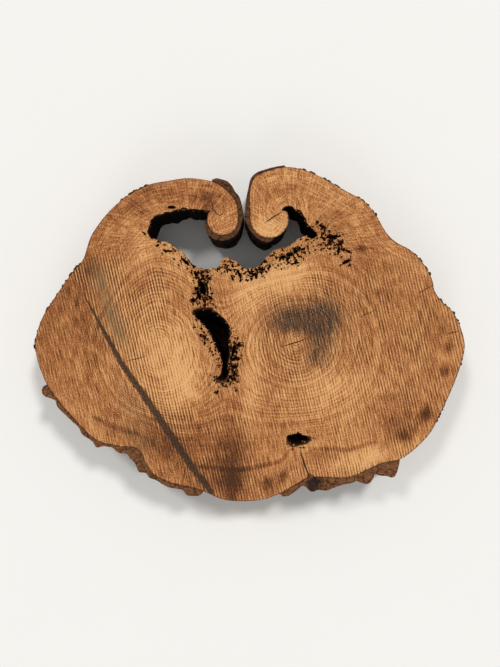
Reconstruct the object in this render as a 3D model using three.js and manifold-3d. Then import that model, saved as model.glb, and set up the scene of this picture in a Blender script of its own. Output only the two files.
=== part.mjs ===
// A thick cross-cut slice of an old walnut trunk, sawn flat on both faces.
// Two stems grew together here: a deep wound at the top was never closed, and the living edge
// on each side of it rolled inwards into a curl. Behind the curls the heart has rotted away,
// which leaves a ragged hollow right through the slice, a deep pocket below it and worm holes.
// Bark still holds in four places: on both curls, along the lower left and along the bottom.
// Millimetres, +Z up: the slice lies on its back face, and the front face looks up.
import * as THREE from 'three';
import Module from 'manifold-3d';

// Driving dimensions
const THICKNESS = 127;
const TAPER = 8;              // how much further out the rim stands at the back face
const LEVELS = 5;             // rings of points from the back face to the front face
const RIM_STEP = 8;           // spacing of points along the outline
const BARK_STEP = 7;          // spacing of points along the bark's outer edge
const BARK_GAP = 0.3;         // between wood and bark
const BARK_LEAST = 2.5;       // the thinnest bark
const BARK_SINK = 4;          // how far a bark blank reaches into the wood before the wood is cut from it
const BARK_SWELL = 0.22;      // rise and fall of the ridges down the side, as a share of the thickness
const LIP_RAGGED = 2.5;       // how far the rotten lip wavers on the front face
const WALL_RAGGED = 4;        // and how much further down the wall
const POCKET_DEPTH = 104;
const POCKET_FLOOR = 0.55;    // size of the pocket's floor against its mouth
const SMALL_HOLE_DEPTH = 46;
const SMALL_HOLE_FLOOR = 0.4;
const PROUD = 1;              // how far a hole's cutter stands out of the front face
const CRUMB_HOLES = 30;       // small pits scattered along the rotten lip
const CRUMB_SEED = 7;
const RAGGED_FADE = 25;       // the raggedness dies away over this length, where rot meets a curl

// Outline of the front face, counter-clockwise from the top of the left curl
const RIM = [
  [-97, 389], [-154, 397], [-210, 390], [-266, 378], [-320, 348], [-369, 302], [-404, 253],
  [-417, 218], [-428, 187], [-456, 154], [-499, 92], [-532, 38], [-549, -20], [-543, -72],
  [-517, -136], [-481, -184], [-435, -236], [-392, -274], [-338, -289], [-294, -293], [-276, -310],
  [-264, -338], [-236, -369], [-184, -387], [-128, -401], [-74, -424], [-26, -430], [31, -426],
  [77, -410], [118, -387], [148, -369], [156, -360], [166, -367], [220, -370], [261, -367],
  [302, -349], [335, -334], [384, -323], [425, -294], [463, -253], [484, -212], [509, -161],
  [530, -110], [543, -69], [550, -31], [540, 13], [520, 54], [489, 84], [472, 110], [467, 136],
  [445, 177], [412, 212], [374, 233], [348, 259], [323, 302], [292, 338], [246, 364], [184, 399],
  [136, 419], [90, 425], [46, 416], [15, 402], [3, 381], [-1, 353], [0, 312],
];
const RIGHT_CURL = { x: 50, y: 293, radius: 49, from: 180, to: 382 };
const CREASE = [82, 315];
const RIGHT_ROOF = [
  [87, 321], [100, 326], [115, 321], [131, 310], [143, 294], [151, 276], [164, 265], [174, 251],
];
const LIP = [
  [159, 243], [138, 248], [123, 243], [110, 228], [87, 219], [61, 210], [44, 195], [28, 177], [5, 165],
  [-15, 168], [-31, 177], [-44, 188], [-61, 195], [-74, 184], [-84, 169], [-105, 164], [-128, 168],
  [-146, 174], [-161, 195], [-182, 212], [-205, 228], [-230, 237], [-253, 241], [-264, 261],
];
const LEFT_ROOF = [
  [-257, 282], [-248, 296], [-228, 306], [-202, 312], [-179, 320], [-148, 319], [-123, 316],
  [-102, 314],
];
const LEFT_CURL = { x: -70, y: 291, radius: 40, from: 145, to: 365 };
const LEFT_NOTCH = [[-32, 320], [-37, 338], [-47, 353], [-61, 367], [-79, 380]];
const NOTCH = new THREE.Vector2(-15, 330);   // where the curls come closest
const NOTCH_NEAR = 60;                       // the rim has no taper within this distance of the notch
const NOTCH_FAR = 150;                       // and its whole taper beyond this one

// Outlines of the blind holes in the front face, counter-clockwise
const POCKET = [
  [-131, 33], [-110, 10], [-95, -18], [-82, -44], [-72, -77], [-74, -102], [-87, -120], [-67, -128],
  [-54, -108], [-56, -82], [-51, -56], [-54, -28], [-49, -5], [-51, 18], [-61, 33], [-79, 49],
  [-100, 64], [-118, 67], [-136, 63], [-151, 54],
];
const SMALL_HOLE = [
  [97, -284], [108, -293], [128, -287], [148, -282], [157, -273], [151, -264], [136, -261],
  [125, -252], [113, -257], [97, -261], [92, -271],
];

// Rot holes in the front face: x, y, length, width, turn in degrees
const ROT_HOLES = [
  [173, 284, 12, 9, 90], [186, 273, 24, 10, -30], [212, 247, 44, 9, 8], [205, 233, 23, 8, 90],
  [233, 229, 14, 10, 20], [227, 210, 24, 10, 75], [253, 209, 22, 7, -25], [247, 183, 27, 9, 30],
  [-200, 322, 24, 10, 0], [-164, 182, 27, 8, -45], [-45, 141, 18, 7, -70], [-28, 151, 30, 8, -65],
  [10, 150, 28, 8, 32], [31, 163, 20, 9, 5], [-122, 115, 40, 20, -75], [-146, 84, 17, 15, 0],
  [-131, 97, 30, 12, -70], [-102, 90, 20, 9, -40], [84, 196, 20, 8, 8], [105, 202, 24, 10, 35],
  [120, 212, 26, 10, 40], [137, 215, 16, 7, 15], [115, 179, 26, 6, 12], [-28, -31, 18, 13, 20],
  [-42, -44, 36, 12, 80], [-40, -105, 24, 8, 75], [-84, -151, 15, 8, 60], [-118, -8, 14, 9, -10],
  [-138, 152, 22, 9, -50], [-106, 140, 16, 8, 35],
];

// Outer edges of the bark, counter-clockwise, each from where it starts on the rim to where it ends
const BARK = {
  bark_left_curl: [
    [-116, 290], [-114, 269], [-102, 248], [-82, 238], [-59, 239], [-36, 251], [-22, 276], [-18, 300],
    [-19, 320], [-23, 338], [-28, 352], [-37, 361], [-44, 374], [-56, 388], [-72, 394], [-87, 397],
    [-97, 393],
  ],
  bark_lower_left: [
    [-520, -131], [-530, -137], [-534, -148], [-526, -161], [-507, -168], [-497, -174], [-494, -187],
    [-481, -201], [-456, -225], [-438, -242], [-430, -259], [-412, -271], [-402, -279], [-392, -293],
    [-376, -290], [-353, -293], [-338, -305], [-315, -310], [-307, -321], [-294, -333], [-285, -355],
    [-266, -358], [-259, -369], [-238, -378], [-210, -394], [-174, -401], [-161, -415], [-131, -416],
    [-120, -407],
  ],
  bark_bottom: [
    [77, -413], [84, -418], [100, -416], [118, -403], [133, -392], [143, -393], [151, -402],
    [161, -407], [174, -401], [197, -403], [220, -394], [241, -387], [261, -384], [271, -379],
    [289, -384], [302, -387], [315, -374], [320, -361], [333, -365], [351, -366], [366, -370],
    [376, -358], [384, -327],
  ],
  bark_right_curl: [
    [90, 430], [64, 426], [38, 419], [15, 410], [1, 394], [-4, 371], [-9, 348], [-12, 323], [-12, 297],
    [-6, 274], [8, 253], [26, 239], [46, 233], [61, 240],
  ],
};

const wasm = await Module();
wasm.setup();

const woodMaterial = new THREE.MeshStandardMaterial({ color: 0xb67c46, roughness: 0.8, metalness: 0 });
const barkMaterial = new THREE.MeshStandardMaterial({ color: 0x5f4631, roughness: 0.95, metalness: 0 });

const vectors = (pairs) => pairs.map(([x, y]) => new THREE.Vector2(x, y));
const radians = THREE.MathUtils.degToRad;
const wave = (distance, length, phase = 0) => Math.sin((2 * Math.PI * distance) / length + phase);

// A slow uneven wobble between about -1 and 1, for a place along an edge and a height.
function wobble(along, height) {
  return (
    0.5 * wave(along + 0.35 * height, 83) +
    0.3 * wave(along - 0.2 * height, 47, 1.3) +
    0.2 * wave(along + 0.6 * height, 29, 2.1)
  );
}

// The front face's outline as evenly spaced points. ragged is 1 along rotten wood and 0 on sound wood.
function sampleOutline() {
  const arc = (path, c) => path.absarc(c.x, c.y, c.radius, radians(c.from), radians(c.to));
  const path = new THREE.Path();
  path.moveTo(...RIM[0]);
  path.splineThru(vectors(RIM.slice(1)));
  arc(path, RIGHT_CURL);
  path.lineTo(...CREASE);
  const firstRotten = path.curves.length;
  path.splineThru(vectors(RIGHT_ROOF));
  path.splineThru(vectors(LIP));
  path.splineThru(vectors(LEFT_ROOF));
  const lastRotten = path.curves.length - 1;
  arc(path, LEFT_CURL);
  path.splineThru(vectors([...LEFT_NOTCH, RIM[0]]));

  const samples = [];
  let along = 0;
  path.curves.forEach((curve, index) => {
    const length = curve.getLength();
    const count = Math.max(1, Math.round(length / RIM_STEP));
    const rotten = index >= firstRotten && index <= lastRotten;
    curve.getSpacedPoints(count).slice(0, -1).forEach((point, i) => {
      const fromEnd = (Math.min(i, count - i) * length) / count;
      samples.push({
        point,
        along: along + (i * length) / count,
        onRim: index === 0 ? 1 : 0,
        ragged: rotten ? Math.min(1, fromEnd / RAGGED_FADE) : 0,
      });
    });
    along += length;
  });
  samples.forEach((sample, i) => {
    const before = samples.at(i - 2).point;
    const after = samples[(i + 2) % samples.length].point;
    const tangent = after.clone().sub(before).normalize();
    sample.out = new THREE.Vector2(tangent.y, -tangent.x);
  });
  for (const s of samples) {
    s.point.addScaledVector(s.out, s.ragged * LIP_RAGGED * wave(s.along, 31) * wave(s.along, 113));
  }
  return samples;
}

// How far out a point of the outline has moved at a height, against the front face.
function wallShift(sample, height) {
  const clear = THREE.MathUtils.smoothstep(sample.point.distanceTo(NOTCH), NOTCH_NEAR, NOTCH_FAR);
  const rotten = sample.ragged * WALL_RAGGED * wobble(sample.along, height);
  const sound = sample.onRim * clear * TAPER * (1 + 0.4 * wobble(sample.along, height));
  return (1 - height / THICKNESS) * (rotten + sound);
}

const wallPoint = (sample, height, offset = 0) =>
  sample.point.clone().addScaledVector(sample.out, wallShift(sample, height) + offset);

const heights = Array.from({ length: LEVELS }, (_, k) => (THICKNESS * k) / (LEVELS - 1));

// A closed solid through rings of equally many points: the first is its floor and the last its top.
function loft(rings, ringHeights) {
  const count = rings[0].length;
  const positions = rings.flatMap((ring, k) => ring.flatMap((p) => [p.x, p.y, ringHeights[k]]));
  const index = [];
  for (let k = 0; k + 1 < rings.length; k++) {
    for (let i = 0; i < count; i++) {
      const a = k * count + i;
      const b = k * count + ((i + 1) % count);
      index.push(a, b, b + count, a, b + count, a + count);
    }
  }
  const top = (rings.length - 1) * count;
  const fill = (ring) => THREE.ShapeUtils.triangulateShape(ring, []);
  for (const [a, b, c] of fill(rings[0])) index.push(a, c, b);
  for (const [a, b, c] of fill(rings.at(-1))) index.push(top + a, top + b, top + c);
  const geometry = new THREE.BufferGeometry();
  geometry.setAttribute('position', new THREE.Float32BufferAttribute(positions, 3));
  geometry.setIndex(index);
  return geometry;
}

const toSolid = (geometry) => new wasm.Manifold(new wasm.Mesh({
  numProp: 3,
  vertProperties: geometry.attributes.position.array,
  triVerts: new Uint32Array(geometry.index.array),
}));

function toGeometry(solid) {
  const mesh = solid.getMesh();
  const geometry = new THREE.BufferGeometry();
  geometry.setAttribute('position', new THREE.BufferAttribute(mesh.vertProperties, 3));
  geometry.setIndex(new THREE.BufferAttribute(mesh.triVerts, 1));
  geometry.computeVertexNormals();
  return geometry;
}

// A blind hole below an outline on the front face, narrowing towards its floor.
function blindHole(outline, depth, floorSize) {
  const edge = new THREE.SplineCurve(vectors([...outline, outline[0]]));
  const mouth = edge.getSpacedPoints(outline.length * 2).slice(0, -1);
  const middle = mouth.reduce((sum, p) => sum.add(p), new THREE.Vector2()).divideScalar(mouth.length);
  const shares = [1, 0.55, 0];
  const rings = shares.map((share) => mouth.map((p) => p.clone().lerp(middle, share * (1 - floorSize))));
  const ringHeights = shares.map((share) => THICKNESS - depth * share);
  return loft([...rings, mouth], [...ringHeights, THICKNESS + PROUD]);
}

// A small pit in the front face, longest along its turn and as deep as it is long.
function pit([x, y, length, width, turn]) {
  const middle = new THREE.Vector2(x, y);
  const oval = new THREE.EllipseCurve(x, y, length / 2, width / 2, 0, 2 * Math.PI, false, radians(turn));
  const mouth = oval.getPoints(8).slice(0, -1);
  const floor = mouth.map((p) => p.clone().lerp(middle, 0.6));
  return loft([floor, mouth, mouth], [THICKNESS - length, THICKNESS - length / 4, THICKNESS + PROUD]);
}

// Crumbled rot: small pits scattered at random below the hollow's lip, thicker near its edge.
function crumbHoles() {
  const random = () => THREE.MathUtils.seededRandom();
  THREE.MathUtils.seededRandom(CRUMB_SEED);
  const lip = new THREE.SplineCurve(vectors(LIP));
  return Array.from({ length: CRUMB_HOLES }, () => {
    const place = random();
    const at = lip.getPointAt(place);
    const tangent = lip.getTangentAt(place);
    const depth = 6 + 26 * random() ** 2;
    at.add(new THREE.Vector2(-tangent.y, tangent.x).multiplyScalar(depth));
    const turn = THREE.MathUtils.radToDeg(Math.atan2(tangent.y, tangent.x)) + 50 * (random() - 0.5);
    return [at.x, at.y, 7 + 9 * random(), 4 + 3 * random(), turn];
  });
}

const largestBody = (solid) => solid.decompose().reduce((a, b) => (b.volume() > a.volume() ? b : a));

// The wood's outside before any hole is cut, offset millimetres larger all round.
const blank = (samples, offset) =>
  toSolid(loft(heights.map((z) => samples.map((s) => wallPoint(s, z, offset))), heights));

function woodGeometry(samples) {
  const cutters = [
    blindHole(POCKET, POCKET_DEPTH, POCKET_FLOOR),
    blindHole(SMALL_HOLE, SMALL_HOLE_DEPTH, SMALL_HOLE_FLOOR),
    ...[...ROT_HOLES, ...crumbHoles()].map(pit),
  ].map(toSolid);
  const carved = cutters.reduce((solid, cutter) => solid.subtract(cutter), blank(samples, 0));
  return toGeometry(largestBody(carved));
}

// Bark between the wood and its own outer edge, with ridges that swell and wander down the side.
function barkGeometry(samples, edge, woodBlank) {
  const nearest = (target) => samples.reduce(
    (best, s, i) => (s.point.distanceTo(target) < samples[best].point.distanceTo(target) ? i : best), 0);
  const outline = vectors(edge);
  const first = nearest(outline[0]);
  const last = nearest(outline.at(-1));
  const count = (last - first + samples.length) % samples.length;
  const inner = Array.from({ length: count + 1 }, (_, i) => samples[(first + i) % samples.length]);
  const curve = new THREE.SplineCurve(outline);
  const outer = curve.getSpacedPoints(Math.round(curve.getLength() / BARK_STEP));
  const skin = outer.map((p, i) => {
    const foot = inner.reduce((best, s) => (s.point.distanceTo(p) < best.point.distanceTo(p) ? s : best));
    const thick = p.clone().sub(foot.point).dot(foot.out);
    if (thick < BARK_LEAST) p.addScaledVector(foot.out, BARK_LEAST - thick);
    const before = outer[Math.max(0, i - 3)];
    const after = outer[Math.min(outer.length - 1, i + 3)];
    const out = new THREE.Vector2(after.y - before.y, before.x - after.x).normalize();
    return { p, foot, out, spare: Math.max(0, thick - BARK_LEAST) };
  });
  const rings = heights.map((z) => {
    const inside = inner.map((s) => wallPoint(s, z, -BARK_SINK));
    const outside = skin.map(({ p, foot, out, spare }, i) => {
      const swell = BARK_SWELL * spare * (1 - z / THICKNESS) * wobble(i * BARK_STEP, 2 * z);
      return p.clone().addScaledVector(out, wallShift(foot, z) + swell);
    });
    return [...inside.reverse(), ...outside];
  });
  return toGeometry(largestBody(toSolid(loft(rings, heights)).subtract(woodBlank)));
}

function node(name, geometry, material) {
  const mesh = new THREE.Mesh(geometry, material);
  mesh.name = name;
  return mesh;
}

const samples = sampleOutline();

const slice = new THREE.Group();
slice.add(node('wood', woodGeometry(samples), woodMaterial));
const clearance = blank(samples, BARK_GAP);
for (const [name, edge] of Object.entries(BARK)) {
  slice.add(node(name, barkGeometry(samples, edge, clearance), barkMaterial));
}

// The origin is under the middle of the slice, on the surface that it lies on.
const middle = new THREE.Box3().setFromObject(slice).getCenter(new THREE.Vector3());
slice.position.set(-middle.x, -middle.y, 0);

const part = new THREE.Group();
part.add(slice);
export default part;
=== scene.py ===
import math

import bmesh
import bpy
import numpy as np
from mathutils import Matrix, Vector, bvhtree, geometry, kdtree


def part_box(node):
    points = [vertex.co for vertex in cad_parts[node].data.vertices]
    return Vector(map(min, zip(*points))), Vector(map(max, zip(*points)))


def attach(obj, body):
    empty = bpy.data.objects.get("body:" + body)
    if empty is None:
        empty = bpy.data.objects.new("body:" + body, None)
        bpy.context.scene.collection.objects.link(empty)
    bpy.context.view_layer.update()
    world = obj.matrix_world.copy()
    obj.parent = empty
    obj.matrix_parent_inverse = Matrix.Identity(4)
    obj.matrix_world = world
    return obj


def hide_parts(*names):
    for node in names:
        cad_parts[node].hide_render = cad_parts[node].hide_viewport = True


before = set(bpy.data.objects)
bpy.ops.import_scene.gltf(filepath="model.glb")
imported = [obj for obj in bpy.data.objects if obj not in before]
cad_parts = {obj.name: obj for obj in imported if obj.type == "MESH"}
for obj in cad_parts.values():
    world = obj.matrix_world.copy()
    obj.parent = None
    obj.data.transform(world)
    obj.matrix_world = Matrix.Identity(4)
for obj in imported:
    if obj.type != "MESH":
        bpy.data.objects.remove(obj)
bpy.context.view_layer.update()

# A walnut slice: the sawn face with its rings, saw marks and stains, the rotted hollow, the bark
# that still holds, and the scraps of bark and crumbs of wood left round the edges.
# Places and sizes are in millimetres unless a comment says otherwise.

MM = 0.001
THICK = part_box("wood")[1].z         # in metres

# Places on the face
LEFT_PITH = (-238, -41, 1.16)       # with how much narrower than round its rings are
RIGHT_PITH = (118, -18, 1.0)
PITH_BLEND = 90                     # how softly the rings of the two piths run together
ARM_MIDDLE = (135, 240)             # of the arm on the right, and mirrored for the other one
MIRROR_X = -20
ARM_RISE = (150, 240)               # Y where the arms start and where they are full
CURL_RISE = (150, 250)              # Y where the bark starts to roll in and where it has
LEFT_SIDE = (-80, -240)             # X where deeper saw marks start and where they are deepest
LEFT_CURL = (-70, 292)
RIGHT_CURL = (50, 294)
LEFT_CURL_REACH = 46
RIGHT_CURL_REACH = 55
HOLLOW = ((-275, 150), (185, 335))
NOTCH_X = (-45, 20)
NOTCH_Y = 300
KNOT = (161, -387)                  # the gnarled spot in the bark at the end of the seam

# Rings and saw marks
RING_COUNT = 62
FACE_SWAY = 20                      # how far the rings wander
BARK_SWAY = 22
SAW_LEAN = -13                      # degrees from the Y axis
SAW_PITCH = 7.4
SAW_DEPTH = 0.45
SAW_SWAY = 6

# Fineness of the meshes
ACROSS_SAW = 1.9
ALONG_SAW = 7.5
ROT_GRAIN = 1.7
ROT_FROM = 0.3                      # how rotten the face is where the finer mesh starts
BACK_GRAIN = 12
EDGE_CLEAR = 1.1
JITTER = 0.22                       # of the points' spacing
WALL_CUTS = 2
BARK_CUTS = 4
MERGE = 0.02
FLAT = 0.05                         # how far from a sawn face a point may be and still lie on it
SHARP = 40                          # degrees between faces that meet in a sharp edge
BATCH = 4000                        # points that are worked out together

# Soft patches on the face: x, y, half length, half width, turn in degrees, amount
TONE_PATCHES = [
    # Pale wood below the hollow, and along its lower lip a painted highlight on the pale crumbled wood
    (77, 133, 85, 38, 18, 0.34), (20, 165, 130, 24, 8, 0.12), (-270, 215, 60, 34, 80, 0.18),
    (-185, 200, 34, 60, 30, 0.16),
    # Pale wood round the left pith and in the flame between the piths
    (-218, -41, 90, 85, 0, 0.26), (-172, -110, 75, 40, 105, 0.26), (-190, -150, 60, 45, 0, 0.15),
    (-13, 90, 80, 34, 90, 0.20), (5, -130, 125, 26, 88, 0.22),
    # Pale wood in the right curl and arm
    (50, 270, 50, 40, 0, 0.28), (215, 305, 70, 45, -30, 0.08), (120, 400, 60, 20, 0, 0.10),
    # Pale wood low on the right
    (215, -185, 120, 80, 0, 0.08), (205, -130, 85, 55, 0, 0.18), (128, -284, 46, 30, 0, 0.12),
    (269, -322, 95, 28, 10, 0.24), (320, -330, 60, 30, 30, 0.14),
    # Darker wood along the left edge
    (-435, 44, 110, 55, 95, -0.14), (-490, 85, 120, 30, 70, -0.12), (-415, 152, 34, 26, 60, -0.22),
    (-410, 190, 22, 20, 0, -0.10), (-520, -60, 90, 30, 100, -0.10),
    # Darker wood in the left arm and curl
    (-333, 228, 60, 55, 0, -0.06), (-300, 330, 110, 30, 38, -0.10), (-192, 356, 120, 16, -8, -0.14),
    (-110, 335, 40, 18, 75, -0.28),
    # Darker wood in the right arm
    (238, 284, 80, 34, -40, -0.10), (330, 120, 120, 50, -35, -0.06), (284, 218, 13, 9, 0, -0.35),
    # Brown smears along the bottom
    (-205, -292, 80, 38, -32, -0.28), (-46, -374, 85, 34, 95, -0.42), (-141, -246, 80, 55, 0, -0.12),
    (-95, -374, 80, 38, 0, -0.20), (-26, -245, 62, 28, 90, -0.08), (-38, -290, 75, 45, 0, -0.14),
    (187, -315, 46, 18, 0, -0.22),
    # Darker wood along the right edge
    (392, -220, 75, 48, 45, -0.20), (450, -5, 110, 60, 90, -0.08),
    # Small dark spots near the rim, on the right and at the bottom
    (397, -264, 17, 15, 0, -0.34), (450, -208, 17, 14, 60, -0.34), (497, -97, 15, 10, 60, -0.36),
    (509, -33, 14, 10, 80, -0.30), (46, -384, 15, 18, 0, -0.34), (82, -369, 12, 17, 0, -0.34),
]
# The dark cloud over the right pith, clear at the pith itself
STAIN_PATCHES = [
    (150, 36, 78, 42, 0, 0.62), (86, 34, 46, 36, 0, 0.46), (198, 56, 46, 44, 30, 0.48),
    (178, -20, 36, 60, 0, 0.58), (158, -66, 42, 28, 0, 0.32), (135, 15, 120, 100, 0, 0.32),
    (106, -36, 46, 32, 15, -0.65),
]
# Grey weathering beside the band
GREY_PATCHES = [
    (-384, 142, 40, 16, -66, 1.0), (-360, 62, 58, 20, -66, 0.8), (-336, 0, 45, 18, -58, 0.6),
    (-300, -190, 60, 26, -60, 0.4), (-288, -275, 42, 26, -50, 0.5),
]
# Streaked wood between the piths
FLAME_PATCHES = [
    (-15, 80, 130, 48, 92, 1.0), (2, -110, 150, 46, 88, 1.0), (-20, -270, 110, 50, 90, 0.6),
]
ROT_PATCHES = [
    # Under the hollow and at its right end
    (105, 195, 82, 22, 22, 0.75), (212, 236, 62, 36, -40, 0.7), (5, 152, 44, 20, 10, 0.7),
    (-150, 172, 60, 16, -50, 0.5), (-75, 168, 40, 16, 0, 0.45), (-20, 172, 130, 20, 8, 0.20),
    # Round the pocket
    (-122, 108, 24, 48, 8, 0.95), (-118, -12, 62, 14, -60, 0.55), (-36, -42, 14, 44, 0, 0.75),
    (-44, -104, 14, 40, 0, 0.75), (-95, -112, 30, 12, -20, 0.5), (-72, -120, 24, 16, 0, 0.6),
    (-62, -72, 34, 60, 0, 0.3), (-80, -20, 100, 42, 118, 0.26),
    # Round the small hole near the bottom
    (128, -284, 30, 16, 0, 0.5),
]

# The dark diagonal band: x, y and half width
BAND = [
    (-430, 108, 0.5), (-384, 23, 4), (-330, -75, 7), (-256, -182, 9), (-154, -335, 9), (-100, -405, 8),
]
BAND_FAR = 30                       # half widths past which the band no longer matters

# Fine dark lines on the face: the points that each goes through, and its half width
CRACKS = [
    ([(79, -36), (154, -10)], 1.2), ([(284, 46), (317, 61)], 0.8), ([(430, 100), (468, 123)], 0.8),
    ([(504, -5), (535, 5)], 0.8), ([(-317, -69), (-262, -54)], 0.8), ([(-174, -379), (-166, -340)], 0.8),
    ([(131, -300), (140, -335), (156, -372)], 2.2), ([(82, 315), (60, 300), (38, 284)], 1.6),
    ([(110, -268), (92, -280)], 1.2), ([(150, -262), (172, -268)], 1.0),
    ([(-100, 348), (-94, 320), (-78, 304), (-64, 310)], 1.2),
]
CRACK_SOFT = 1
HEART_LINES = [
    ([(-400, -212), (-340, -240), (-282, -258)], 3.0),
    ([(-128, -343), (-26, -348), (77, -328), (102, -302)], 2.6),
    ([(166, -294), (256, -297), (320, -280)], 2.4),
]
HEART_LINE_SOFT = 8

# Where scraps of bark are thick on the rim: x, y and how far along it
SCRAP_SPOTS = [
    (150, 420, 14), (212, 391, 12), (291, 343, 12), (312, 315, 10), (-316, 351, 9), (-299, 366, 8),
    (-283, 374, 8), (-458, 150, 26), (-500, 90, 30), (-545, -10, 30), (440, 170, 24), (520, 60, 30),
    (470, -190, 24), (540, -60, 24),
]
SCRAP_MARGIN = 10
SCRAPS_PER_SPOT = 14
FLECKS = 420
CRUMBS = 420

# Half a chip's thickness, width and height, least and most
SCRAP_SIZE = ((3.0, 7.5), (3.0, 9.0), (4, 9))
FLECK_SIZE = ((0.4, 1.3), (0.8, 2.6), (4, 15))
CRUMB_SIZE = ((1.0, 2.6), (1.2, 3.6), (1.5, 4.5))

# Lowest and highest place of the chips on the walls, in metres
SCRAP_HEIGHTS = (THICK - 22 * MM, THICK - 8 * MM)
FLECK_HEIGHTS = (17 * MM, THICK - 15 * MM)
CRUMB_HEIGHTS = (THICK - 22 * MM, THICK - 1 * MM)

SEEDS = {
    "face": 1, "rot": 2, "back": 3, "scrap spots": 11, "bark_scraps": 12, "crumb spots": 13,
    "rot_crumbs": 14, "fleck spots": 15, "bark_flecks": 16,
}

# Colours of the wood, from pale to black
PALE = (0.82, 0.46, 0.195)
GOLD = (0.650, 0.318, 0.122)
HONEY = (0.46, 0.182, 0.062)
RUSSET = (0.335, 0.120, 0.037)
BROWN = (0.205, 0.073, 0.026)
UMBER = (0.075, 0.030, 0.013)
DRY = (0.33, 0.165, 0.078)
# Near black: cracks and rot pits, and black rot with painted shade deep down the walls of the hollow and
# the pocket
BLACK_AND_SHADE = (0.004, 0.003, 0.002)
SOOT = (0.036, 0.027, 0.022)
GREY = (0.175, 0.118, 0.058)
BAND_DARK = (0.028, 0.017, 0.011)
BAND_PALE = (0.110, 0.066, 0.037)
# Dark rim line: the edge's rough fringe, with painted shade of the gap where bark meets the wood
RIM_FRINGE_AND_SHADE = (0.050, 0.024, 0.012)

# Colours of the bark, where it is sawn and outside
SAWN_BARK = [
    (0.28, (0.030, 0.014, 0.008)), (0.45, (0.150, 0.060, 0.025)), (0.6, (0.260, 0.112, 0.046)),
    (0.8, (0.400, 0.210, 0.100)),
]
CORK = [(0.3, (0.016, 0.009, 0.006)), (0.52, (0.085, 0.048, 0.029)), (0.75, (0.190, 0.135, 0.095))]
FISSURE = (0.016, 0.009, 0.006)
# Painted shade of the thin gap between the bark and the wood
BARK_GAP_SHADE = (0.020, 0.010, 0.006)
GNARL = (0.022, 0.014, 0.013)
# Bark rolled into the curls: its own dark inner side with painted shade
ROLLED_BARK_AND_SHADE = (0.020, 0.009, 0.006)

# Studio, in metres
CAMERA_HEIGHT = 1.29                # above the face
FACE_HEIGHT_SEEN = 1.7075           # how much of the face's plane the picture's long side takes in
SENSOR = 36                         # of the camera, in millimetres
FLOOR_REACH = 60
FLOOR_SHADES = ((0.935, 0.93, 0.912), (0.95, 0.945, 0.927))

# Each light: name, where it shines towards, width in degrees, and its share of the light on the floor
LIGHTS = [
    ("key_light", (-0.36, -0.54, -0.76), 10, 0.33),
    ("second_key", (0.40, -0.54, -0.74), 10, 0.20),
    ("fill_light", (0.1, 0.85, -0.53), 24, 0.05),
]
LIGHT_COLOUR = (1.0, 0.985, 0.96)
SKY = 0.40
SKY_COLOUR = (1.0, 0.985, 0.965, 1)


class Wire:
    """One output of a node, so that sums of nodes are written as sums."""

    def __init__(self, board, socket):
        self.board = board
        self.socket = socket

    def __add__(self, other):
        return self.board.math("ADD", self, other)

    def __sub__(self, other):
        return self.board.math("SUBTRACT", self, other)

    def __rsub__(self, other):
        return self.board.math("SUBTRACT", other, self)

    def __mul__(self, other):
        return self.board.math("MULTIPLY", self, other)

    def __truediv__(self, other):
        return self.board.math("DIVIDE", self, other)

    __radd__ = __add__
    __rmul__ = __mul__


class Board:
    """A node tree that nodes are added to."""

    def __init__(self, tree):
        self.tree = tree

    def node(self, kind, settings=None, inputs=None, output=0):
        made = self.tree.nodes.new(kind)
        for name, value in (settings or {}).items():
            if name == "stops":
                self.set_stops(made.color_ramp, value)
            else:
                setattr(made, name, value)
        for name, value in (inputs or {}).items():
            if isinstance(value, Wire):
                self.tree.links.new(value.socket, made.inputs[name])
            else:
                made.inputs[name].default_value = value
        return Wire(self, made.outputs[output])

    @staticmethod
    def set_stops(ramp, stops):
        while len(ramp.elements) < len(stops):
            ramp.elements.new(1)
        for element, (position, colour) in zip(ramp.elements, stops):
            element.position = position
            element.color = (*colour, 1)

    def math(self, operation, *values):
        return self.node("ShaderNodeMath", {"operation": operation}, dict(enumerate(values)))

    def vector(self, operation, *values, output=0):
        return self.node("ShaderNodeVectorMath", {"operation": operation}, dict(enumerate(values)), output)

    def scaled(self, value, share):
        return self.node("ShaderNodeVectorMath", {"operation": "SCALE"}, {0: value, "Scale": share})

    def between(self, value, low, high):
        """0 below low and 1 above high, or the other way round where low is the larger."""
        return self.node(
            "ShaderNodeMapRange", {"interpolation_type": "SMOOTHSTEP"},
            {"Value": value, "From Min": low, "From Max": high})

    def grain(self, place, stretch, detail=3.0, rough=0.55):
        """Noise of about 0 to 1 whose lumps are 1 / stretch metres along X, Y and Z."""
        stretched = self.vector("MULTIPLY", place, stretch)
        return self.node(
            "ShaderNodeTexNoise", None,
            {"Vector": stretched, "Scale": 1.0, "Detail": detail, "Roughness": rough})

    def mix(self, share, first, second):
        """The second colour over the first, by a share of 0 to 1."""
        inputs = {0: share, 6: first, 7: second}
        for slot in (6, 7):
            if isinstance(inputs[slot], tuple):
                inputs[slot] = (*inputs[slot], 1)
        return self.node("ShaderNodeMix", {"data_type": "RGBA", "clamp_factor": True}, inputs, 2)

    def ramp(self, value, stops):
        return self.node("ShaderNodeValToRGB", {"stops": stops}, {"Fac": value}, "Color")


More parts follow.
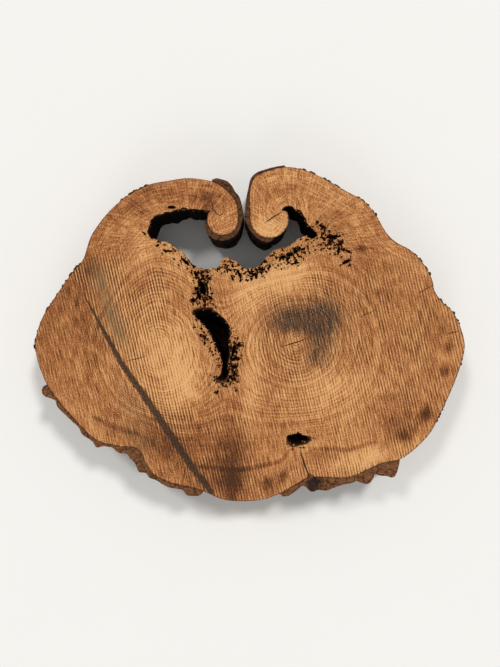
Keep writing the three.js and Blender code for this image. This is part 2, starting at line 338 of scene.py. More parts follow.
class Finish(Board):
    """A material whose nodes are written in the same way."""

    def __init__(self, name):
        self.material = bpy.data.materials.new(name)
        self.material.use_nodes = True
        super().__init__(self.material.node_tree)
        self.shader = self.tree.nodes["Principled BSDF"]
        self.place = self.node("ShaderNodeTexCoord", output="Object")
        split = self.node("ShaderNodeSeparateXYZ", None, {0: self.place})
        self.x, self.y, self.z = (Wire(self, socket) for socket in split.socket.node.outputs)

    def attribute(self, name):
        return self.node("ShaderNodeAttribute", {"attribute_name": name}, output="Fac")

    def upright(self):
        """1 on walls and 0 on faces that look up or down."""
        normal = self.node("ShaderNodeNewGeometry", output="True Normal")
        tilt = self.node("ShaderNodeSeparateXYZ", None, {0: normal}, "Z")
        return self.between(self.math("ABSOLUTE", tilt), 0.75, 0.45)

    def set(self, **sockets):
        for name, value in sockets.items():
            socket = self.shader.inputs[name.replace("_", " ")]
            if isinstance(value, Wire):
                self.tree.links.new(value.socket, socket)
            else:
                socket.default_value = value

    def bump(self, height):
        """A normal from a height in metres."""
        return self.node("ShaderNodeBump", None, {"Strength": 1.0, "Distance": 1.0, "Height": height})


def turned(degrees):
    return math.cos(math.radians(degrees)), math.sin(math.radians(degrees))


# Where things are on the face

def patches(points, listed):
    """The sum of soft patches at the points."""
    total = np.zeros(len(points))
    for x, y, long, wide, turn, amount in listed:
        c, s = turned(turn)
        right = points[:, 0] / MM - x
        up = points[:, 1] / MM - y
        total += amount * np.exp(-((right * c + up * s) / long) ** 2 - ((up * c - right * s) / wide) ** 2)
    return total


def band_offset(points):
    """Distance from the middle of the diagonal band in half widths, with a sign for its side."""
    flat = points[:, :2] / MM
    nearest = np.full(len(flat), np.inf)
    offset = np.full(len(flat), float(BAND_FAR))
    for (x0, y0, w0), (x1, y1, w1) in zip(BAND, BAND[1:]):
        run = np.array((x1 - x0, y1 - y0), float)
        length = np.hypot(*run)
        run /= length
        out = flat - (x0, y0)
        along = np.clip(out @ run, 0, length)
        gap = np.hypot(*(out - along[:, None] * run).T)
        side = np.sign(out @ np.array((-run[1], run[0])))
        width = w0 + (w1 - w0) * along / length
        closer = gap < nearest
        nearest = np.where(closer, gap, nearest)
        offset = np.where(closer, side * gap / width, offset)
    return np.clip(offset, -BAND_FAR, BAND_FAR)


def distances(points, targets):
    """How far each point is from the nearest target, seen from above."""
    tree = kdtree.KDTree(len(targets))
    for i, target in enumerate(targets):
        tree.insert((target[0], target[1], 0), i)
    tree.balance()
    return np.array([tree.find((p[0], p[1], 0))[2] for p in points])


def soft_distances(points, targets):
    """A distance from all the targets together, with no crease half way between two of them."""
    soft = np.empty(len(points))
    for first in range(0, len(points), BATCH):
        batch = slice(first, first + BATCH)
        apart = points[batch, None, :2] - targets[None, :, :2]
        gaps = np.maximum(np.hypot(apart[..., 0], apart[..., 1]), 1 * MM)
        soft[batch] = (gaps ** -4.0).mean(1) ** -0.25
    return soft


def in_hollow(x, y):
    """True on the rotten edge of the hollow, and False on the curls and the notch between them."""
    x, y = x / MM, y / MM
    (left, low), (right, high) = HOLLOW
    if not (left < x < right and low < y < high):
        return False
    if math.dist((x, y), LEFT_CURL) < LEFT_CURL_REACH:
        return False
    if math.dist((x, y), RIGHT_CURL) < RIGHT_CURL_REACH:
        return False
    return not (NOTCH_X[0] < x < NOTCH_X[1] and y > NOTCH_Y)


# Meshes

def merged_copy(node):
    """A solid's mesh with its loose triangles joined."""
    bm = bmesh.new()
    bm.from_mesh(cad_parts[node].data)
    bmesh.ops.remove_doubles(bm, verts=bm.verts, dist=MERGE * MM)
    return bm


def edge_loops(pairs):
    """Closed chains of vertex numbers, longest first."""
    following = {}
    for a, b in pairs:
        following.setdefault(a, []).append(b)
        following.setdefault(b, []).append(a)
    left = set(following)
    loops = []
    while left:
        chain = [left.pop()]
        while True:
            ahead = [n for n in following[chain[-1]] if n in left]
            if not ahead:
                break
            left.discard(ahead[0])
            chain.append(ahead[0])
        loops.append(chain)
    return sorted(loops, key=len, reverse=True)


def lattice(low, high, across, along, lean, seed):
    """Jittered points over a box, across by along apart, in rows that lean from the Y axis."""
    c, s = turned(lean)
    half = np.hypot(high[0] - low[0], high[1] - low[1]) / 2
    u, v = np.meshgrid(np.arange(-half, half, across), np.arange(-half, half, along))
    v[:, 1::2] += along / 2
    shake = np.random.default_rng(seed).uniform(-JITTER, JITTER, (2, *u.shape))
    u = u + shake[0] * across
    v = v + shake[1] * along
    x = u * c + v * s + (low[0] + high[0]) / 2
    y = v * c - u * s + (low[1] + high[1]) / 2
    return np.column_stack((x.ravel(), y.ravel()))


def inside(points, ends):
    """Which points lie inside the closed edges, given as start and end corners."""
    within = np.zeros(len(points), bool)
    (x0, y0), (x1, y1) = ends[:, 0].T, ends[:, 1].T
    slope = (x1 - x0) / np.where(y1 == y0, 1, y1 - y0)
    for first in range(0, len(points), BATCH):
        batch = slice(first, first + BATCH)
        x, y = points[batch].T[:, :, None]
        crossed = ((y0 > y) != (y1 > y)) & (x < x0 + slope * (y - y0))
        within[batch] = crossed.sum(1) % 2 == 1
    return within


def fill_face(edge_points, edge_pairs, inner):
    """The inner points that fit between the edges, and the triangles of both, edge points first."""
    ends = edge_points[np.array(edge_pairs)][:, :, :2]
    inner = inner[inside(inner, ends)]
    inner = inner[distances(inner, edge_points) > EDGE_CLEAR * MM]
    points = np.vstack((edge_points[:, :2], inner))
    result = geometry.delaunay_2d_cdt([Vector(p) for p in points], edge_pairs, [], 0, 1e-7, True)
    source = [first[0] for first in result[3]]
    triangles = np.array([[source[i] for i in face] for face in result[2]])
    bridging = (triangles < len(edge_points)).all(1)
    wanted = ~bridging
    wanted[bridging] = inside(points[triangles[bridging]].mean(1), ends)
    return inner, triangles[wanted].tolist()


def mesh_object(name, verts, faces, fields, material):
    """A new object whose points carry the given fields."""
    mesh = bpy.data.meshes.new(name)
    mesh.from_pydata([tuple(v) for v in verts], [], faces)
    for field, values in fields.items():
        mesh.attributes.new(field, "FLOAT", "POINT").data.foreach_set("value", values.astype(np.float32))
    mesh.materials.append(material)
    made = bpy.data.objects.new(name, mesh)
    bpy.context.scene.collection.objects.link(made)
    return made


def finished(made):
    """The object with its node modifiers worked in, as a plain mesh."""
    worked = made.evaluated_get(bpy.context.evaluated_depsgraph_get())
    result = bpy.data.meshes.new_from_object(worked)
    made.modifiers.clear()
    made.data = result
    result.polygons.foreach_set("use_smooth", [True] * len(result.polygons))
    result.set_sharp_from_angle(angle=math.radians(SHARP))
    return made


class Shaper(Board):
    """A Geometry Nodes tree with named inputs for its sizes."""

    def __init__(self, name, sizes):
        super().__init__(bpy.data.node_groups.new(name, "GeometryNodeTree"))
        face = self.tree.interface
        face.new_socket("Geometry", in_out="INPUT", socket_type="NodeSocketGeometry")
        for size in sizes:
            face.new_socket(size, in_out="INPUT", socket_type="NodeSocketFloat")
        face.new_socket("Geometry", in_out="OUTPUT", socket_type="NodeSocketGeometry")
        self.sizes = sizes
        start = self.tree.nodes.new("NodeGroupInput")
        self.given = {socket.name: Wire(self, socket) for socket in start.outputs if socket.name}
        self.place = self.node("GeometryNodeInputPosition")
        self.normal = self.node("GeometryNodeInputNormal")

    def field(self, name):
        return self.node("GeometryNodeInputNamedAttribute", {"data_type": "FLOAT"}, {"Name": name})

    def move(self, mesh, offset):
        return self.node("GeometryNodeSetPosition", None, {"Geometry": mesh, "Offset": offset})

    def close(self, mesh):
        end = self.tree.nodes.new("NodeGroupOutput")
        self.tree.links.new(mesh.socket, end.inputs[0])

    def put_on(self, made):
        modifier = made.modifiers.new(self.tree.name, "NODES")
        modifier.node_group = self.tree
        for item in self.tree.interface.items_tree:
            if item.in_out == "INPUT" and item.name in self.sizes:
                modifier[item.identifier] = self.sizes[item.name]


def saw_coordinates(board, x, y, place):
    """Places across the saw marks and along them, with the sway of a hand-guided cut."""
    c, s = turned(SAW_LEAN)
    across = x * c - y * s + board.grain(place, (6, 6, 6)) * (SAW_SWAY * MM)
    return across, x * s + y * c


def rot_pits(board, flat, rot):
    """1 in the holes that rot has eaten, which are more and larger where there is more rot."""
    lumps = board.grain(flat, (150, 100, 1), 3, 0.58)
    return board.between(lumps + rot * 0.26, 0.715, 0.755) * board.between(rot, 0.10, 0.24)


def wood_relief():
    """Saw marks and crumbled rot on the face, and fibres down the walls."""
    t = Shaper("wood_relief", {
        "Saw Pitch": SAW_PITCH * MM,
        "Saw Depth": SAW_DEPTH * MM,
        "Pit Depth": 9 * MM,
        "Crumb Depth": 2 * MM,
        "Band Depth": 1.6 * MM,
        "Wall Fibre": 1.3 * MM,
        "Wall Rot": 4 * MM,
        "Wall Crumb": 3 * MM,
    })
    given = t.given
    split = t.node("ShaderNodeSeparateXYZ", None, {0: t.place})
    x, y = split, Wire(t, split.socket.node.outputs[1])
    flat = t.node("ShaderNodeCombineXYZ", None, {"X": x, "Y": y})
    across = saw_coordinates(t, x, y, flat)[0]
    teeth = t.math("SINE", across * (2 * math.pi) / given["Saw Pitch"])
    saw = (teeth * 0.5 + 0.5) * given["Saw Depth"] * t.grain(flat, (25, 9, 1))
    rot = t.field("rot")
    crumbs = t.between(t.grain(flat, (260, 260, 1), 4, 0.6), 0.4, 0.7) * t.between(rot, 0.1, 0.5)
    eaten = rot_pits(t, flat, rot) * given["Pit Depth"] + crumbs * given["Crumb Depth"]
    band = t.between(t.math("ABSOLUTE", t.field("band")), 1.25, 0.7) * given["Band Depth"]
    down = t.field("face") * (saw + eaten + band)
    sunk = t.node("ShaderNodeCombineXYZ", None, {"Z": down * -1.0})

    fibres = t.grain(t.place, (140, 140, 9), 4, 0.6) - 0.5
    lumps = t.grain(t.place, (45, 45, 12), 3, 0.6) - 0.5
    crumbled = t.grain(t.place, (150, 150, 40), 3, 0.6) - 0.5
    near_rot = t.between(t.field("lip"), 14 * MM, 3 * MM)
    rotten = (lumps * given["Wall Rot"] + crumbled * given["Wall Crumb"]) * near_rot
    swing = (fibres * given["Wall Fibre"] + rotten) * t.field("wall") * 2.0
    level = t.vector("MULTIPLY", t.normal, (1, 1, 0))
    t.close(t.move(given["Geometry"], t.vector("ADD", sunk, t.scaled(level, swing))))
    return t


def rot_field(points, rot_points):
    """How rotten the face is, from 0 to 1: in the rotten patches and close to a rotten edge."""
    near = np.exp(-distances(points, rot_points) / (6 * MM))
    return np.clip(patches(points, ROT_PATCHES) * 0.8 + 0.4 * near, 0, 1)


def sawn_walls():
    """The wood's walls without its two sawn faces: points, triangles and the edges left open."""
    bm = merged_copy("wood")

    def on(face, z):
        return all(abs(v.co.z - z) < FLAT * MM for v in face.verts)

    flats = [face for face in bm.faces if on(face, 0) or on(face, THICK)]
    bmesh.ops.delete(bm, geom=flats, context="FACES")
    bmesh.ops.subdivide_edges(bm, edges=bm.edges, cuts=WALL_CUTS, use_grid_fill=True)
    bmesh.ops.triangulate(bm, faces=bm.faces)
    bm.verts.index_update()
    walls = np.array([v.co for v in bm.verts])
    faces = [[v.index for v in face.verts] for face in bm.faces]
    open_edges = [edge for edge in bm.edges if len(edge.link_faces) == 1]
    open_pairs = [tuple(v.index for v in edge.verts) for edge in open_edges]
    bm.free()
    return walls, faces, open_pairs


def wood_piece():
    """The slice, and the points of its sound rim and of its rotten edges."""
    walls, faces, open_pairs = sawn_walls()

    def edges_at(z):
        return [pair for pair in open_pairs if all(abs(walls[i][2] - z) < FLAT * MM for i in pair)]

    front = edges_at(THICK)
    outer, *holes = edge_loops(front)
    rotten = [i for i in outer if in_hollow(*walls[i][:2])] + [i for hole in holes for i in hole]
    sound = sorted(set(outer) - set(rotten))
    rim_points, rot_points = walls[sound], walls[rotten]

    low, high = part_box("wood")
    coarse = lattice(low, high, ACROSS_SAW * MM, ALONG_SAW * MM, SAW_LEAN, SEEDS["face"])
    coarse = coarse[rot_field(coarse, rot_points) < ROT_FROM]
    fine = lattice(low, high, ROT_GRAIN * MM, ROT_GRAIN * MM, 0, SEEDS["rot"])
    fine = fine[rot_field(fine, rot_points) >= ROT_FROM]
    front_inner = np.vstack((coarse, fine))
    back_inner = lattice(low, high, BACK_GRAIN * MM, BACK_GRAIN * MM, SAW_LEAN, SEEDS["back"])

    verts = walls
    face_flag = [np.zeros(len(walls))]
    wall_flag = [np.ones(len(walls))]
    sides = ((front, front_inner, THICK, True), (edges_at(0), back_inner, 0, False))
    for pairs, points, z, is_front in sides:
        used = sorted({i for pair in pairs for i in pair})
        number = {vertex: k for k, vertex in enumerate(used)}
        kept, triangles = fill_face(walls[used], [(number[a], number[b]) for a, b in pairs], points)
        start = len(verts)
        verts = np.vstack((verts, np.column_stack((kept, np.full(len(kept), z)))))
        for triangle in triangles:
            corners = [used[i] if i < len(used) else start + i - len(used) for i in triangle]
            faces.append(corners if is_front else corners[::-1])
        face_flag.append(np.full(len(kept), float(is_front)))
        wall_flag.append(np.zeros(len(kept)))

    fields = {
        "face": np.concatenate(face_flag),
        "wall": np.concatenate(wall_flag),
        "rim": distances(verts, rim_points),
        "girth": soft_distances(verts, rim_points[::5]),
        "lip": distances(verts, rot_points),
        "rot": rot_field(verts, rot_points),
        "stain": np.clip(patches(verts, STAIN_PATCHES), 0, 1),
        "grey": np.clip(patches(verts, GREY_PATCHES), 0, 1),
        "flame": np.clip(patches(verts, FLAME_PATCHES), 0, 1),
        "tone": patches(verts, TONE_PATCHES),
        "band": band_offset(verts),
    }
    made = mesh_object("walnut_slice", verts, faces, fields, walnut())
    wood_relief().put_on(made)
    return finished(made), rim_points, rot_points


def bark_relief():
    """Ridges and furrows that run up the bark, broken into plates."""
    t = Shaper("bark_relief", {"Ridge": 3.2 * MM, "Plate": 2.0 * MM, "Crumble": 0.8 * MM})
    given = t.given
    tilt = t.node("ShaderNodeSeparateXYZ", None, {0: t.normal}, "Z")
    side = t.between(t.math("ABSOLUTE", tilt), 0.9, 0.5) * t.between(t.field("rim"), 0.8 * MM, 3 * MM)
    ridges = t.grain(t.place, (70, 70, 11), 3, 0.6) - 0.5
    plates = t.node(
        "ShaderNodeTexVoronoi", {"feature": "DISTANCE_TO_EDGE"},
        {"Vector": t.vector("MULTIPLY", t.place, (55, 55, 18)), "Scale": 1.0})
    furrow = t.between(plates, 0.16, 0.0)
    crumble = t.grain(t.place, (300, 300, 160), 3, 0.6) - 0.5
    height = ridges * given["Ridge"] - furrow * given["Plate"] + crumble * given["Crumble"]
    level = t.vector("MULTIPLY", t.normal, (1, 1, 0))
    t.close(t.move(given["Geometry"], t.scaled(level, height * side)))
    return t


def bark_piece(node, rim_points, material, relief):
    """One patch of bark, finer than its solid and furrowed."""
    bm = merged_copy(node)
    bmesh.ops.subdivide_edges(bm, edges=bm.edges, cuts=BARK_CUTS, use_grid_fill=True)
    bmesh.ops.triangulate(bm, faces=bm.faces)
    bm.verts.index_update()
    verts = np.array([v.co for v in bm.verts])
    faces = [[v.index for v in face.verts] for face in bm.faces]
    bm.free()
    fields = {"rim": distances(verts, rim_points)}
    made = mesh_object("walnut_" + node, verts, faces, fields, material)
    relief.put_on(made)
    return finished(made)


# Finishes

def growth_rings(m, flat, bent, flame):
    """Distance from the piths, each year's dark line, how well it shows, and good years against bad."""
    piths = [pith_distance(m, bent, *pith) for pith in (LEFT_PITH, RIGHT_PITH)]
    pith = m.math("SMOOTH_MIN", *piths, PITH_BLEND * MM)
    age = pith / (pith + m.attribute("girth"))
    year = m.math("FRACT", age * RING_COUNT + m.grain(flat, (16, 16, 1), 3) * 2.2)
    late = m.between(year, 0.45, 0.95) * m.between(year, 1.0, 0.94)
    show = m.between(m.grain(flat, (12, 12, 1), 2), 0.3, 0.65) * m.between(pith, 0.34, 0.10)
    growth = m.node(
        "ShaderNodeTexNoise", {"noise_dimensions": "1D"},
        {"W": age * RING_COUNT, "Scale": 0.55, "Detail": 3.0, "Roughness": 0.7}) - 0.5
    return pith, late, show * (1 - flame * 0.7), growth


def saw_marks(m, flat, lip, flame, arm):
    """The marks of the saw's teeth and the fine scratches along them, which fade in the arms."""
    across, along = saw_coordinates(m, m.x, m.y, flat)
    lines = m.node("ShaderNodeCombineXYZ", None, {"X": across, "Y": along})
    show = m.between(m.grain(lines, (16, 7, 1), 2), 0.25, 0.6) * (1 - flame * 0.85)
    show = show * m.between(lip, 12 * MM, 75 * MM) * (1 - arm * 0.85)
    deeper = m.between(m.x, LEFT_SIDE[0] * MM, LEFT_SIDE[1] * MM)
    past_band = m.between(m.attribute("band"), 2, -3)
    teeth = m.math("SINE", across * (2 * math.pi / (SAW_PITCH * MM)))
    teeth = teeth * show * (1 + deeper * 0.7) * (1 - past_band * 0.75)
    scratches = (m.grain(lines, (400, 26, 1), 3, 0.68) - 0.5) * (1 - arm * 0.7)
    return teeth, scratches


def arm_grain(m, rim, arm):
    """Rays across the two arms, and layers that follow their rim."""
    right = m.math("ABSOLUTE", m.x - MIRROR_X * MM) - ARM_MIDDLE[0] * MM
    turn = m.math("ARCTAN2", m.y - ARM_MIDDLE[1] * MM, right)
    fan = m.node("ShaderNodeCombineXYZ", None, {"X": turn * 0.12, "Y": rim})
    rays = (m.grain(fan, (300, 28, 1), 3, 0.66) - 0.5) * arm
    layers = (m.grain(fan, (24, 260, 1), 3, 0.66) - 0.5) * arm
    return rays, layers


def with_band(m, wood, flat):
    """Wood with the dark diagonal band, ragged along its edges and flecked inside."""
    ragged = m.attribute("band") + (m.grain(flat, (120, 120, 1), 3, 0.6) - 0.5) * 1.5
    within = m.between(m.math("ABSOLUTE", ragged), 1.35, 0.7)
    fleck = m.between(m.grain(flat, (260, 260, 1), 3, 0.7), 0.42, 0.68)
    return m.mix(within * 0.92, wood, m.mix(fleck, BAND_DARK, BAND_PALE))


def with_damage(m, wood, flat, bent, rim, rot):
    """Wood with cracks, holes eaten by rot and a broken dark line round the rim: its rough fringe and
    painted shade of the gap against the bark.
    """
    for points, width in CRACKS:
        wood = m.mix(line(m, bent, points, width, CRACK_SOFT) * 0.9, wood, BLACK_AND_SHADE)
    wood = m.mix(rot_pits(m, flat, rot), wood, BLACK_AND_SHADE)
    # Dark line along the rim: the edge's rough fringe, and painted shade of the gap against the bark
    bitten = m.grain(flat, (130, 130, 1), 3, 0.6) - 0.5
    edge = m.between(rim + bitten * (10 * MM), 3.0 * MM, 0.4 * MM)
    return m.mix(edge * 0.78, wood, RIM_FRINGE_AND_SHADE)


def with_walls(m, wood, fibres, upright, lip):
    """Wood with fibres down its walls, and inside the hollow and the pocket black rot with painted shade
    that deepens below the face.
    """
    side = m.ramp(fibres, [(0.3, UMBER), (0.55, BROWN), (0.8, DRY)])
    wood = m.mix(upright, wood, side)
    # Painted shade with black rot: walls near the rotten edges go black from 1 to 16 mm below the face
    black_rot_and_shade = m.between(m.z, THICK - 1 * MM, THICK - 16 * MM) * m.between(lip, 60 * MM, 20 * MM)
    return m.mix(black_rot_and_shade * (0.88 + fibres * 0.2), wood, BLACK_AND_SHADE)


def walnut():
    m = Finish("walnut_sawn")
    flat = m.node("ShaderNodeCombineXYZ", None, {"X": m.x, "Y": m.y})
    sway = m.node("ShaderNodeTexNoise", None, {"Vector": flat, "Scale": 9.0, "Detail": 2.0}, "Color")
    sway = m.vector("SUBTRACT", sway, (0.5, 0.5, 0.5))
    bent = m.vector("ADD", flat, m.vector("MULTIPLY", sway, (FACE_SWAY * MM, FACE_SWAY * MM, 0)))
    rim, lip, rot, flame = (m.attribute(name) for name in ("rim", "lip", "rot", "flame"))
    arm = m.between(m.y, ARM_RISE[0] * MM, ARM_RISE[1] * MM)
    pith, late, ring_show, growth = growth_rings(m, flat, bent, flame)
    teeth, scratches = saw_marks(m, flat, lip, flame, arm)
    rays, layers = arm_grain(m, rim, arm)
    pores = m.grain(flat, (330, 330, 1), 3, 0.7) - 0.5
    smoke = m.grain(flat, (40, 40, 1), 4, 0.6) - 0.5

    # Sound wood, from dark to pale
    streaks = m.grain(bent, (150, 11, 1), 4, 0.65) - 0.5
    clouds = m.grain(flat, (13, 13, 1), 4, 0.6) - 0.5
    heart = m.between(pith, 0.30, 0.06) * (1 - flame)
    crumble = m.between(rot, 0.06, 0.4)
    crumbs = m.grain(flat, (300, 300, 1), 4, 0.7) - 0.5
    tone = m.attribute("tone") * 1.35 + 0.57 + clouds * 0.60 + smoke * 0.34
    tone = tone + growth * (heart * 0.6 + 0.25) + flame * streaks * 2.2
    # The saw-teeth wave here paints light and shade of the saw grooves as pale and dark stripes
    tone = tone + scratches * 2.0 + pores * 1.7 + teeth * 0.24 + rays * 1.3 + layers * 1.2
    tone = tone + crumble * (crumbs * 1.9 + 0.08)
    for points, width in HEART_LINES:
        tone = tone - line(m, bent, points, width, HEART_LINE_SOFT) * 0.28
    shades = [(0.0, UMBER), (0.22, BROWN), (0.4, RUSSET), (0.56, HONEY), (0.8, GOLD), (1.0, PALE)]
    wood = m.ramp(tone - late * ring_show * 0.36, shades)

    # Stains and damage
    patchy = m.attribute("stain") * (1 + smoke * 0.8 - scratches * 1.8 - pores * 1.6)
    soot = m.between(patchy, 0.0, 1.20) * (0.96 + growth * 0.4 - late * 0.30)
    wood = m.mix(soot, wood, SOOT)
    wood = m.mix(m.attribute("grey") * (0.8 + smoke * 1.5) * 0.8, wood, GREY)
    wood = with_band(m, wood, flat)
    wood = with_damage(m, wood, flat, bent, rim, rot)

    # Walls
    fibres = m.grain(m.place, (170, 170, 7), 4, 0.62)
    upright = m.upright()
    wood = with_walls(m, wood, fibres, upright, lip)

    height = teeth * (0.2 * MM) + scratches * (0.9 * MM) + pores * (0.5 * MM)
    height = height - late * ring_show * (0.12 * MM)
    height = height + crumbs * crumble * (3 * MM) + fibres * upright * (1.2 * MM)
    m.set(Base_Color=wood, Roughness=0.75 + rot * 0.2, Normal=m.bump(height), Specular_IOR_Level=0.1)
    return m.material


def pith_distance(m, place, x, y, narrow):
    """Distance from a pith, whose rings are narrowed across X by the given share."""
    out = m.vector("SUBTRACT", place, (x * MM, y * MM, 0))
    return m.vector("LENGTH", m.vector("MULTIPLY", out, (narrow, 1 / narrow, 0)), output="Value")


def line(m, place, points, half_width, soft):
    """1 along a line through points, fading over soft millimetres and narrowing to both ends."""
    corners = [Vector((*point, 0)) * MM for point in points]
    total = sum((b - a).length for a, b in zip(corners, corners[1:]))
    nearest = None
    gone = 0.0
    for a, b in zip(corners, corners[1:]):
        run = b - a
        out = m.vector("SUBTRACT", place, tuple(a))
        share = m.vector("DOT_PRODUCT", out, tuple(run), output="Value") / run.length_squared
        share = m.node("ShaderNodeClamp", None, {0: share})
        gap = m.vector("DISTANCE", out, m.scaled(tuple(run), share), output="Value")
        reach = share * (run.length / total) + gone / total
        gap = gap - reach * (1 - reach) * (4 * half_width * MM)
        nearest = gap if nearest is None else m.math("MINIMUM", nearest, gap)
        gone += run.length
    return m.between(nearest, soft * MM, -0.4 * MM)


def bark():
    m = Finish("walnut_bark")
    upright = m.upright()
    layers = m.grain(m.place, (110, 110, 8), 4, 0.65)
    grit = m.grain(m.place, (330, 330, 200), 3, 0.65)
    sway = m.node("ShaderNodeTexNoise", None, {"Vector": m.place, "Scale": 90.0, "Detail": 3.0}, "Color")
    swayed = m.vector("ADD", m.place, m.scaled(sway, BARK_SWAY * MM))
    shade = layers * 0.6 + grit * 0.4
    colour = m.mix(upright, m.ramp(shade, SAWN_BARK), m.ramp(shade, CORK))

    # Fissures between plates, and painted shade of the thin gap where the bark meets the wood
    plates = m.node(
        "ShaderNodeTexVoronoi", {"feature": "DISTANCE_TO_EDGE"},
        {"Vector": m.vector("MULTIPLY", swayed, (48, 48, 12)), "Scale": 1.0})
    fissure = m.between(plates + (grit - 0.5) * 0.14, 0.05, 0.0)
    colour = m.mix(fissure * 0.7, colour, FISSURE)
    inner = m.between(m.attribute("rim") + (grit - 0.5) * (5 * MM), 2.4 * MM, 0.8 * MM)
    colour = m.mix(inner * 0.8, colour, BARK_GAP_SHADE)

    # The knot is moved by the mean of the sway, which is half its reach each way
    shift = BARK_SWAY * MM / 2
    knot = (KNOT[0] * MM + shift, KNOT[1] * MM + shift, THICK + shift)
    gnarl = m.between(m.vector("DISTANCE", swayed, knot, output="Value"), 22 * MM, 13 * MM)
    gnarl = gnarl * m.between(grit, 0.72, 0.48)
    colour = m.mix(gnarl * 0.9, colour, GNARL)

    # Darker bark where it rolls into the curls, most on its walls: its dark inner side with painted shade
    rolled_in_and_shade = m.between(m.y, CURL_RISE[0] * MM, CURL_RISE[1] * MM)
    colour = m.mix(rolled_in_and_shade * (0.45 + upright * 0.35), colour, ROLLED_BARK_AND_SHADE)
    height = layers * (2 * MM) + grit * (1.4 * MM) + gnarl * (-4 * MM) - fissure * (1.5 * MM)
    m.set(Base_Color=colour, Roughness=0.9, Normal=m.bump(height), Specular_IOR_Level=0.15)
    return m.material


def crumb():
    """Crumbled wood, pale on one chip and brown on the next."""
    m = Finish("walnut_crumb")
    shade = m.grain(m.place, (130, 130, 90), 3, 0.65)
    colour = m.ramp(shade, [(0.3, UMBER), (0.45, RUSSET), (0.6, GOLD), (0.75, PALE)])
    m.set(Base_Color=colour, Roughness=0.9, Specular_IOR_Level=0.1)
    return m.material


# Loose bits that still hold to the walls

def strewn(name, places, turns, sizes, material):
    """Rough chips of the given half sizes at the given places, as one piece."""
    t = Shaper(name + "_strewn", {"Roughness": 0.5})
    kind = {"data_type": "FLOAT_VECTOR"}
    turn = t.node("GeometryNodeInputNamedAttribute", kind, {"Name": "turn"})
    size = t.node("GeometryNodeInputNamedAttribute", kind, {"Name": "size"})
    chip = t.node("GeometryNodeMeshIcoSphere", None, {"Radius": 1.0, "Subdivisions": 2})
    chips = t.node(
        "GeometryNodeInstanceOnPoints", None,
        {"Points": t.given["Geometry"], "Instance": chip, "Rotation": turn, "Scale": size})
    solid = t.node("GeometryNodeRealizeInstances", None, {0: chips})
    knock = t.node(
        "ShaderNodeTexNoise", None, {"Vector": t.place, "Scale": 260.0, "Detail": 1.0}, "Color")
    knock = t.scaled(t.vector("SUBTRACT", knock, (0.5, 0.5, 0.5)), t.given["Roughness"] * (6 * MM))
    rough = t.move(solid, knock)
    t.close(t.node("GeometryNodeSetMaterial", None, {"Geometry": rough, "Material": material}))
    made = mesh_object(name, places, [], {}, material)
    for field, values in (("turn", turns), ("size", sizes)):
        stored = made.data.attributes.new(field, "FLOAT_VECTOR", "POINT")
        stored.data.foreach_set("vector", np.ravel(values))
    t.put_on(made)
    return finished(made)


def on_wall(name, spots, heights, size, material):
    """Chips that lie flat on the wood's wall near the given spots, between two heights."""
    rng = np.random.default_rng(SEEDS[name])
    bm = merged_copy("wood")
    body = bvhtree.BVHTree.FromBMesh(bm)
    bm.free()
    places, turns = [], []
    for spot in spots:
        height = rng.uniform(*heights)
        place, normal = body.find_nearest((spot[0], spot[1], height))[:2]
        if abs(normal.z) < 0.5:
            lie = normal.to_track_quat("X", "Z").to_euler()
            lie.rotate_axis("X", rng.normal(0, 0.2))
            places.append(place)
            turns.append(tuple(lie))
    halves = np.column_stack([rng.uniform(least, most, len(places)) for least, most in size]) * MM
    return strewn(name, places, turns, halves, material)


def scrap_spots(rim_points):
    """Points of the rim where scraps of bark are thick."""
    rng = np.random.default_rng(SEEDS["scrap spots"])
    spots = []
    for x, y, reach in SCRAP_SPOTS:
        gaps = np.hypot(rim_points[:, 0] - x * MM, rim_points[:, 1] - y * MM)
        near = rim_points[gaps < (reach + SCRAP_MARGIN) * MM]
        if len(near):
            spots.extend(near[rng.integers(0, len(near), SCRAPS_PER_SPOT)])
    return spots


def drawn(points, count, seed):
    """Some of the points, drawn at random."""
    return points[np.random.default_rng(SEEDS[seed]).integers(0, len(points), count)]


# Studio

def set_camera(scene):
    """A camera that looks straight down on the face."""
    camera = bpy.data.objects.new("camera", bpy.data.cameras.new("camera"))
    camera.location = (0, 0, THICK + CAMERA_HEIGHT)
    camera.data.sensor_width = SENSOR
    camera.data.lens = SENSOR * CAMERA_HEIGHT / FACE_HEIGHT_SEEN
    camera.data.clip_end = 50
    scene.collection.objects.link(camera)
    scene.camera = camera


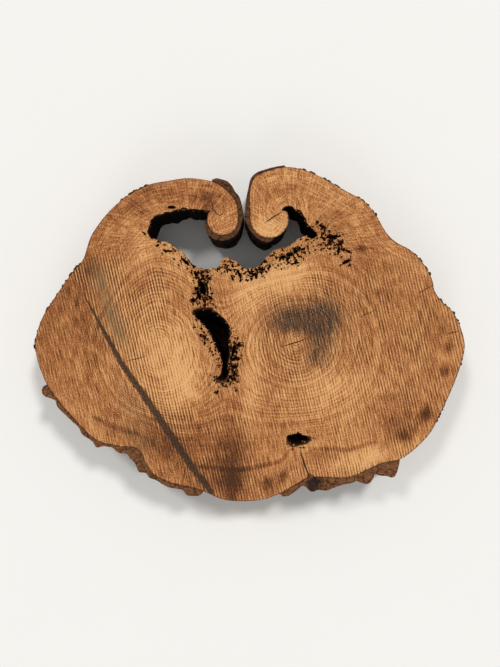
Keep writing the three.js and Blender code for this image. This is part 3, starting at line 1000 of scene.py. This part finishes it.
def set_lights(scene):
    for name, heading, spread, share in LIGHTS:
        light = bpy.data.objects.new(name, bpy.data.lights.new(name, "SUN"))
        heading = Vector(heading).normalized()
        light.data.energy = share * math.pi / -heading.z
        light.data.angle = math.radians(spread)
        light.data.color = LIGHT_COLOUR
        light.rotation_euler = heading.to_track_quat("-Z", "Y").to_euler()
        scene.collection.objects.link(light)
    scene.world = bpy.data.worlds.new("studio")
    scene.world.use_nodes = True
    sky = scene.world.node_tree.nodes["Background"]
    sky.inputs["Color"].default_value = SKY_COLOUR
    sky.inputs["Strength"].default_value = SKY
    scene.view_settings.view_transform = "Standard"


def lay_floor(scene):
    paper = Finish("pale_floor")
    speck = paper.grain(paper.place, (3, 3, 3))
    paper.set(Base_Color=paper.mix(speck, *FLOOR_SHADES), Roughness=0.9)
    mesh = bpy.data.meshes.new("floor")
    corners = [(x * FLOOR_REACH, y * FLOOR_REACH, 0) for x, y in ((-1, -1), (1, -1), (1, 1), (-1, 1))]
    mesh.from_pydata(corners, [], [(0, 1, 2, 3)])
    mesh.materials.append(paper.material)
    floor = bpy.data.objects.new("floor", mesh)
    scene.collection.objects.link(floor)


set_camera(bpy.context.scene)
set_lights(bpy.context.scene)
lay_floor(bpy.context.scene)

wood, rim_points, rot_points = wood_piece()
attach(wood, "root")
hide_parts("wood")

bark_finish = bark()
bark_form = bark_relief()
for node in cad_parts:
    if node.startswith("bark_"):
        piece = bark_piece(node, rim_points, bark_finish, bark_form)
        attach(piece, "root")
        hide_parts(node)

scraps = on_wall("bark_scraps", scrap_spots(rim_points), SCRAP_HEIGHTS, SCRAP_SIZE, bark_finish)
fleck_spots = drawn(rim_points, FLECKS, "fleck spots")
flecks = on_wall("bark_flecks", fleck_spots, FLECK_HEIGHTS, FLECK_SIZE, bark_finish)
crumb_spots = drawn(rot_points, CRUMBS, "crumb spots")
crumbs = on_wall("rot_crumbs", crumb_spots, CRUMB_HEIGHTS, CRUMB_SIZE, crumb())
for piece, slot in ((scraps, "bark"), (flecks, "bark"), (crumbs, "walnut")):
    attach(piece, "root")
